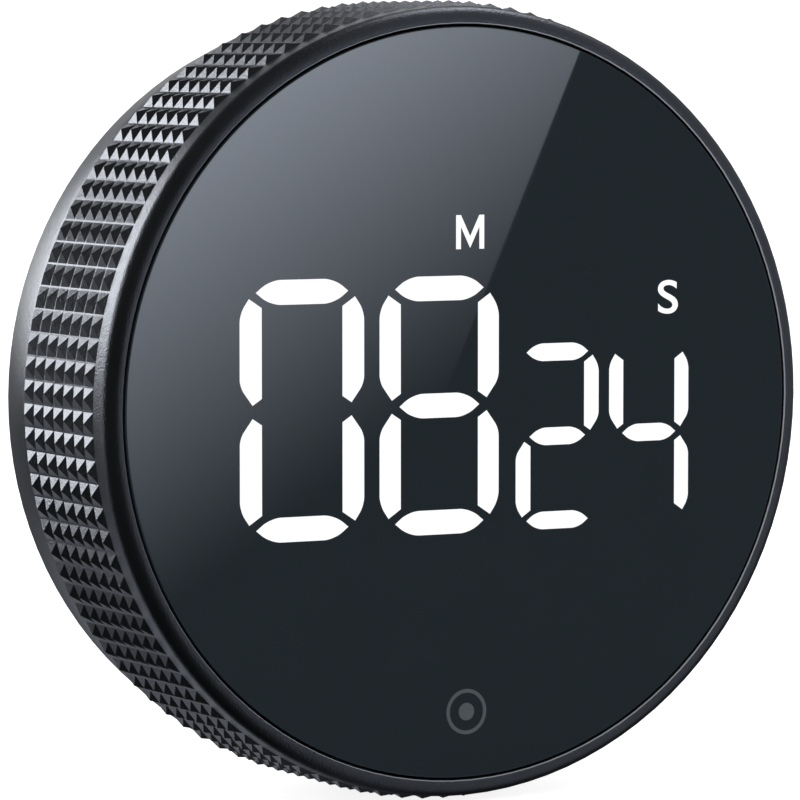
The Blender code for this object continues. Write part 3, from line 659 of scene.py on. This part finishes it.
def bar(name, width, height, cuts, rounded):
    """A rectangle in the face plane, cut by (x, z, angle) lines and with rounded corners.

    A cut goes through x, z and removes what lies on the side that its angle points to;
    rounded is a list of (x, z, offset) corners.
    """
    start_fresh()
    bpy.ops.mesh.primitive_plane_add(size=1.0, location=(0, face_y + BAR_BACK * MM, 0),
                                     rotation=(math.pi / 2, 0, 0))
    made = bpy.context.object
    made.name = made.data.name = name
    made.scale = (width * MM, height * MM, 1)
    bpy.ops.object.transform_apply(location=True, rotation=True, scale=True)
    bpy.ops.object.mode_set(mode="EDIT")
    for x, z, angle in cuts:
        bpy.ops.mesh.select_all(action="SELECT")
        away = math.radians(angle)
        bpy.ops.mesh.bisect(plane_co=(x * MM, 0, z * MM),
                            plane_no=(math.cos(away), 0, math.sin(away)), clear_outer=True)
    for x, z, offset in rounded:
        bpy.ops.mesh.select_mode(type="VERT")
        bpy.ops.mesh.select_all(action="DESELECT")
        bpy.ops.object.mode_set(mode="OBJECT")
        corner = min(made.data.vertices,
                     key=lambda v: math.hypot(v.co.x - x * MM, v.co.z - z * MM))
        corner.select = True
        bpy.ops.object.mode_set(mode="EDIT")
        bpy.ops.mesh.bevel(offset=offset * MM, segments=7, affect="VERTICES", profile=0.5)
    bpy.ops.mesh.select_all(action="SELECT")
    bpy.ops.mesh.extrude_region_move(
        TRANSFORM_OT_translate={"value": (0, (BAR_FRONT - BAR_BACK) * MM, 0)})
    bpy.ops.mesh.select_all(action="SELECT")
    bpy.ops.mesh.normals_make_consistent(inside=False)
    bpy.ops.object.mode_set(mode="OBJECT")
    return made


BAR_THICK, TIP_SLOPE, LEVEL_SHOULDER = 2.37, 38.0, 1.15


def level_bar(name, half):
    """A level bar: both ends come to a point at mid height."""
    lean = math.radians(90 - TIP_SLOPE)
    cuts, rounded = [], []
    for side in (-1, 1):
        for up in (-1, 1):
            angle = math.degrees(math.atan2(up * math.sin(lean), side * math.cos(lean)))
            cuts.append((side * half, 0.0, angle))
            rounded.append((side * (half - BAR_THICK / 2 / math.tan(math.radians(TIP_SLOPE))),
                            up * BAR_THICK / 2, LEVEL_SHOULDER))
    return bar(name, 2 * half, BAR_THICK, cuts, rounded)


level = level_bar("level_bar", 4.95)
middle = level_bar("middle_bar", 4.47)
print("level bar", triangles(level), "triangles")

# %% [markdown]
# The upright bar is drawn for the upper left of a digit. Its outer edge curves in towards both
# tips, and its inner edge is cut straight. The tip away from the middle of the digit leans
# outwards, and the one near the middle leans inwards.

# %% Upright bar
UPRIGHT_WIDE = 2.34
FAR_TIP, NEAR_TIP = 10.75, 0.63            # heights of the two tips above the digit's middle
upright_half = (FAR_TIP - NEAR_TIP) / 2
outer_x, inner_x = -UPRIGHT_WIDE / 2, UPRIGHT_WIDE / 2


def line_angle(from_x, from_z, to_x, to_z):
    """Angle of the normal on the left of a line, in degrees."""
    return math.degrees(math.atan2(to_x - from_x, from_z - to_z))


FAR_SLANT, NEAR_SLANT = 35.0, 37.0         # of the outer cuts, in degrees from upright
FAR_DROP, NEAR_RISE = 0.88, 0.63           # of the inner cuts, over the bar's width
FAR_SHOULDER, NEAR_SHOULDER = 0.85, 0.7    # how far back the outer corners are rounded
FAR_TIP_AT, NEAR_TIP_AT = 0.42, 0.58       # of the width, counted from the outer edge
far_tip_x = outer_x + FAR_TIP_AT * UPRIGHT_WIDE
near_tip_x = outer_x + NEAR_TIP_AT * UPRIGHT_WIDE
far_shoulder = upright_half - (far_tip_x - outer_x) / math.tan(math.radians(FAR_SLANT))
near_shoulder = -upright_half + (near_tip_x - outer_x) / math.tan(math.radians(NEAR_SLANT))
far_tip, near_tip = (far_tip_x, upright_half), (near_tip_x, -upright_half)
upright = bar("upright_bar", UPRIGHT_WIDE, 2 * upright_half, [
    (*far_tip, line_angle(*far_tip, outer_x, far_shoulder) + 180),
    (*far_tip, line_angle(inner_x, upright_half - FAR_DROP, *far_tip) + 180),
    (*near_tip, line_angle(outer_x, near_shoulder, *near_tip) + 180),
    (*near_tip, line_angle(*near_tip, inner_x, NEAR_RISE - upright_half) + 180),
], [(outer_x, far_shoulder, FAR_SHOULDER), (outer_x, near_shoulder, NEAR_SHOULDER)])
print("upright bar", triangles(upright), "triangles")

# %% [markdown]
# A digit is a list of its lit bars. `place_copy` duplicates a bar, scales it to the digit, and
# mirrors it where needed. Mirroring turns a mesh inside out, so its normals are made again.

# %% Digits
RISE = 11.31                               # middle of the digit to the middle of its top bar
REACH = 6.67 - UPRIGHT_WIDE / 2            # middle of the digit to the middle of an upright
UPRIGHT_RISE = (FAR_TIP + NEAR_TIP) / 2
BARS = {
    "top": (level, 0, RISE, 1, 1),
    "middle": (middle, 0, 0, 1, 1),
    "bottom": (level, 0, -RISE, 1, 1),
    "upper_left": (upright, -REACH, UPRIGHT_RISE, 1, 1),
    "upper_right": (upright, REACH, UPRIGHT_RISE, -1, 1),
    "lower_left": (upright, -REACH, -UPRIGHT_RISE, 1, -1),
    "lower_right": (upright, REACH, -UPRIGHT_RISE, -1, -1),
}
LIT = {
    "0": ("top", "upper_left", "upper_right", "lower_left", "lower_right", "bottom"),
    "8": tuple(BARS),
    "2": ("top", "upper_right", "middle", "lower_left", "bottom"),
    "4": ("upper_left", "upper_right", "middle", "lower_right"),
}


def place_copy(original, x, z, scale_x, scale_z):
    """A copy with its own mesh, scaled about its own middle and moved to x, z on the face."""
    start_fresh()
    original.select_set(True)
    bpy.context.view_layer.objects.active = original
    bpy.ops.object.duplicate(linked=False)
    copy = bpy.context.object
    copy.scale = (scale_x, 1, scale_z)
    copy.location = (axis_x + x * MM, 0, axis_z + z * MM)
    bpy.ops.object.transform_apply(location=True, scale=True)
    if scale_x * scale_z < 0:
        bpy.ops.object.mode_set(mode="EDIT")
        bpy.ops.mesh.select_all(action="SELECT")
        bpy.ops.mesh.normals_make_consistent(inside=False)
        bpy.ops.object.mode_set(mode="OBJECT")
    return copy


def join(name, pieces):
    """Join objects into the first one and give it the name."""
    start_fresh()
    for piece in pieces:
        piece.select_set(True)
    bpy.context.view_layer.objects.active = pieces[0]
    bpy.ops.object.join()
    pieces[0].name = pieces[0].data.name = name
    return pieces[0]


def digit(name, figure, x, z, wide, high):
    """One lit digit with its middle at x, z, scaled by wide and high."""
    copies = [place_copy(original, x + dx * wide, z + dz * high, turn_x * wide, turn_z * high)
              for original, dx, dz, turn_x, turn_z in (BARS[part] for part in LIT[figure])]
    made = join(name, copies)
    made.data.materials.append(lit)
    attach(made, "housing")
    print(name, "shows", figure, "with", len(copies), "bars")


digit("lit_minute_tens", "0", -17.81, -0.07, 1.0, 1.0)
digit("lit_minute_ones", "8", -2.88, -0.09, 0.985, 1.0)
digit("lit_second_tens", "2", 10.30, -3.52, 0.702, 0.728)
digit("lit_second_ones", "4", 20.76, -3.52, 0.684, 0.728)
for original in (level, middle, upright):
    bpy.data.objects.remove(original)

# %% [markdown]
# The letters over the digits stand for minutes and seconds. The one for seconds is all curves,
# and a text object is the quick way to it. It has a little thickness of its own, becomes a mesh,
# is fattened slightly to the weight of the strokes, and is fitted to its size on the face.

# %% Seconds letter


def curved_letter(name, letter, x, z, wide, high, weight):
    """A lit letter whose box has its middle at x, z and the given width and height."""
    start_fresh()
    bpy.ops.object.text_add(rotation=(math.pi / 2, 0, 0))
    text = bpy.context.object
    text.data.body = letter
    text.data.extrude = 0.01
    bpy.ops.object.convert(target="MESH")
    made = bpy.context.object
    made.name = made.data.name = name
    bpy.ops.object.transform_apply(rotation=True)
    bpy.ops.object.mode_set(mode="EDIT")
    bpy.ops.mesh.select_all(action="SELECT")
    bpy.ops.mesh.remove_doubles(threshold=0.0001)
    bpy.ops.mesh.normals_make_consistent(inside=False)
    bpy.ops.transform.shrink_fatten(value=weight, use_even_offset=True)
    bpy.ops.object.mode_set(mode="OBJECT")
    low = Vector([min(v.co[k] for v in made.data.vertices) for k in range(3)])
    high_corner = Vector([max(v.co[k] for v in made.data.vertices) for k in range(3)])
    size = high_corner - low
    made.location = -(low + high_corner) / 2
    bpy.ops.object.transform_apply(location=True)
    made.scale = (wide * MM / size.x, (BAR_BACK - BAR_FRONT) * MM / size.y, high * MM / size.z)
    made.location = (axis_x + x * MM, face_y + (BAR_FRONT + BAR_BACK) / 2 * MM, axis_z + z * MM)
    bpy.ops.object.transform_apply(location=True, scale=True)
    bpy.ops.object.mode_set(mode="EDIT")
    bpy.ops.mesh.select_all(action="SELECT")
    bpy.ops.mesh.remove_doubles(threshold=0.0005 * MM)
    bpy.ops.mesh.normals_make_consistent(inside=False)
    bpy.ops.object.mode_set(mode="OBJECT")
    made.data.materials.clear()
    made.data.materials.append(lit)
    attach(made, "housing")
    print(name, triangles(made), "triangles")


curved_letter("lit_seconds_letter", "S", 22.93, 9.78, 2.31, 3.34, 0.010)

# %% [markdown]
# The letter for minutes has straight strokes, so it is drawn like a folded strip: a stem, then
# its upper edge is extruded down to the valley, up again, and out as the other stem, whose
# lower half is extruded last.

# %% Minutes letter
LETTER_M = (0.50, 16.60, 3.11, 3.29)       # middle x, z, width and height
STEM, STROKE, VALLEY_DEPTH = 0.53, 1.12, 2.06
mid_x, mid_z, wide, high = LETTER_M
start_fresh()
bpy.ops.mesh.primitive_plane_add(size=1.0, rotation=(math.pi / 2, 0, 0))
minutes = bpy.context.object
minutes.name = minutes.data.name = "lit_minutes_letter"
minutes.scale = (STEM * MM, high * MM, 1)
minutes.location = (axis_x + (mid_x - wide / 2 + STEM / 2) * MM, at_depth(BAR_BACK),
                    axis_z + mid_z * MM)
bpy.ops.object.transform_apply(location=True, rotation=True, scale=True)
top_z = axis_z + (mid_z + high / 2) * MM


def pick_edge(made, x, low_z, high_z):
    """In edit mode, select the one edge whose middle is nearest x and between two heights."""
    bpy.ops.object.mode_set(mode="OBJECT")
    spots = made.data.vertices
    for part in (*made.data.polygons, *made.data.edges, *spots):
        part.select = False

    def miss(edge):
        a, b = (spots[k].co for k in edge.vertices)
        return abs((a.x + b.x) / 2 - x) + abs((a.z + b.z) / 2 - (low_z + high_z) / 2)

    min(made.data.edges, key=miss).select = True
    bpy.ops.object.mode_set(mode="EDIT")


def pull(x, z):
    """Extrude what is selected along the face, in millimetres."""
    bpy.ops.mesh.extrude_region_move(TRANSFORM_OT_translate={"value": (x * MM, 0, z * MM)})


bpy.ops.object.mode_set(mode="EDIT")
bpy.ops.mesh.select_mode(type="EDGE")
bpy.ops.mesh.select_all(action="SELECT")
bpy.ops.mesh.bisect(plane_co=(0, 0, top_z - STROKE * MM), plane_no=(0, 0, 1))
stem_x = axis_x + (mid_x - wide / 2 + STEM) * MM
pick_edge(minutes, stem_x, top_z - STROKE * MM, top_z)
half_gap = (wide - 2 * STEM) / 2
pull(half_gap, -VALLEY_DEPTH)
pull(half_gap, VALLEY_DEPTH)
pull(STEM, 0)
far_stem_x = axis_x + (mid_x + wide / 2 - STEM / 2) * MM
pick_edge(minutes, far_stem_x, top_z - STROKE * MM, top_z - STROKE * MM)
pull(0, STROKE - high)
bpy.ops.mesh.select_all(action="SELECT")
bpy.ops.mesh.remove_doubles(threshold=0.001 * MM)
bpy.ops.mesh.extrude_region_move(
    TRANSFORM_OT_translate={"value": (0, (BAR_FRONT - BAR_BACK) * MM, 0)})
bpy.ops.mesh.select_all(action="SELECT")
bpy.ops.mesh.normals_make_consistent(inside=False)
bpy.ops.object.mode_set(mode="OBJECT")
minutes.data.materials.append(lit)
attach(minutes, "housing")
print(minutes.name, triangles(minutes), "triangles")

# %% [markdown]
# # The touch key
#
# The start and stop key is printed under the window: a ring with a dot in its middle, in grey
# ink that the light reaches only a little.

# %% Touch key mark
ink = surface("screen_printed_grey_ink", "#3f464a", grain=0.12, grain_height=0.002, mottle=0.05,
              roughness_spread=0.03, Roughness=0.35, IOR=1.5)
KEY = (0.13, -30.02)
KEY_RADIUS, KEY_INNER, KEY_DOT = 2.22, 1.85, 0.86
KEY_SIDES, DOT_SIDES = 72, 48
key_ring = turned("touch_key_ring", [(KEY_RADIUS, BAR_BACK), (KEY_RADIUS, BAR_FRONT),
                                     (KEY_INNER, BAR_FRONT), (KEY_INNER, BAR_BACK),
                                     (KEY_RADIUS, BAR_BACK)], KEY_SIDES, centre=KEY, closed=True)
key_dot = turned("touch_key_dot", [(KEY_DOT, BAR_BACK), (KEY_DOT, BAR_FRONT)], DOT_SIDES,
                 centre=KEY)
for made in (key_ring, key_dot):
    made.data.materials.append(ink)
    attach(made, "housing")
    print(made.name, triangles(made), "triangles")

# %% [markdown]
# # The back
#
# The back is injection-moulded plastic with two nickel-plated magnets, four screws, a sliding
# switch for the sound and a hinged battery door. The CAD shapes are right, but every edge of
# them is knife sharp, and a real mould leaves a small radius that catches the light. So each
# one is copied, its loose triangles are merged and flat areas dissolved, and a Bevel modifier
# eases the edges. A Weighted Normal modifier then keeps the shading of the large flats level
# next to their small bevels. The copy replaces its CAD node.

# %% Pieces with eased edges
FLAT_WITHIN = math.radians(1.0)            # triangles that meet flatter than this become one face
SHARP_FROM = math.radians(40)              # edges that turn more than this are eased


def eased_copy(node, name, body, width, segments=2):
    """A copy of a CAD node with edges eased to a radius in millimetres; it replaces the node."""
    start_fresh()
    source = frame["nodes"][node]
    source.select_set(True)
    bpy.context.view_layer.objects.active = source
    bpy.ops.object.duplicate(linked=False)
    made = bpy.context.object
    made.parent = None
    for key in ("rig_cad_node", "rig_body"):      # the copy is a new piece, not the node
        del made[key]
    made.name = made.data.name = name
    if made.data.has_custom_normals:
        bpy.ops.mesh.customdata_custom_splitnormals_clear()
    bpy.ops.object.mode_set(mode="EDIT")
    bpy.ops.mesh.select_all(action="SELECT")
    bpy.ops.mesh.remove_doubles(threshold=0.001 * MM)
    bpy.ops.mesh.dissolve_limited(angle_limit=FLAT_WITHIN)
    bpy.ops.object.mode_set(mode="OBJECT")
    bevel = made.modifiers.new("eased_edges", "BEVEL")
    bevel.width = width * MM
    bevel.segments = segments
    bevel.limit_method = "ANGLE"
    bevel.angle_limit = SHARP_FROM
    bevel.use_clamp_overlap = True
    bevel.harden_normals = False
    bpy.ops.object.modifier_apply(modifier=bevel.name)
    smooth(made, 35)
    level_shading = made.modifiers.new("level_shading", "WEIGHTED_NORMAL")
    level_shading.keep_sharp = True
    bpy.ops.object.modifier_apply(modifier=level_shading.name)
    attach(made, body)
    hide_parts(node)
    print(name, triangles(made), "triangles")


eased_copy("back_cover", "back_cover_shell", "housing", 0.12)
eased_copy("battery_door", "battery_door_lid", "door", 0.15)
eased_copy("sound_switch_knob", "sound_switch_slider", "sound_slider", 0.08)
for place in ("upper", "lower"):
    eased_copy(f"magnet_{place}", f"magnet_disc_{place}", "housing", 0.25)
for number in (1, 2, 3, 4):
    eased_copy(f"cover_screw_{number}", f"cross_screw_{number}", "housing", 0.05, 1)

# %% [markdown]
# # The cells behind the door
#
# Three AAA cells lie side by side, the middle one turned round. A cell is a drawn steel can in a
# shrunk plastic wrap that curls over both ends, with a nub at the plus end. It is turned like
# the ring, then laid along X. The wrap has a copper-coloured band at the plus end, as most
# cells do, and bare steel shows inside both curls.

# %% Cells
# radii and distances from the flat end, in millimetres
CELL_SIDES, BAND_START, BARE_STEEL = 48, 31.0, 4.44
CELL_RINGS = [(4.25, 0.0), (4.45, 0.0), (4.5, 0.3), (4.7, 0.1), (4.95, 0.18), (5.15, 0.55),
              (5.15, BAND_START), (5.15, 42.95), (4.95, 43.35), (4.7, 43.43), (4.45, 43.2),
              (4.4, 43.0), (2.2, 43.0), (1.9, 43.2), (1.9, 44.3), (1.75, 44.5)]
copper_band = surface("copper_coloured_cell_wrap", "#b9783f", grain=0.8, grain_height=0.002,
                      mottle=0.04, roughness_spread=0.04, Metallic=0.7, Roughness=0.3)


def battery_cell(number, towards):
    """A cell in the place of its CAD node, with its nub towards +X (1) or -X (-1)."""
    low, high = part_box(f"battery_cell_{number}")
    cell = turned(f"aaa_cell_{number}", CELL_RINGS, CELL_SIDES)
    middle = (low + high) / 2
    cell.rotation_euler = (0, 0, -towards * math.pi / 2)
    cell.location = ((low.x if towards > 0 else high.x) - towards * face_y,
                     middle.y + towards * axis_x, middle.z - axis_z)
    bpy.ops.object.transform_apply(location=True, rotation=True)
    smooth(cell, 32)
    for finish in (finishes["cell_wrap"], copper_band, finishes["nickel_plate"]):
        cell.data.materials.append(finish)
    flat_end = low.x if towards > 0 else high.x
    for face in cell.data.polygons:
        along = (face.center.x - flat_end) * towards / MM
        from_middle = math.hypot(face.center.y - middle.y, face.center.z - middle.z) / MM
        face.material_index = 2 if from_middle < BARE_STEEL else int(along > BAND_START)
    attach(cell, "housing")
    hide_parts(f"battery_cell_{number}")
    print(cell.name, triangles(cell), "triangles")


for number, towards in ((1, 1), (2, -1), (3, 1)):
    battery_cell(number, towards)
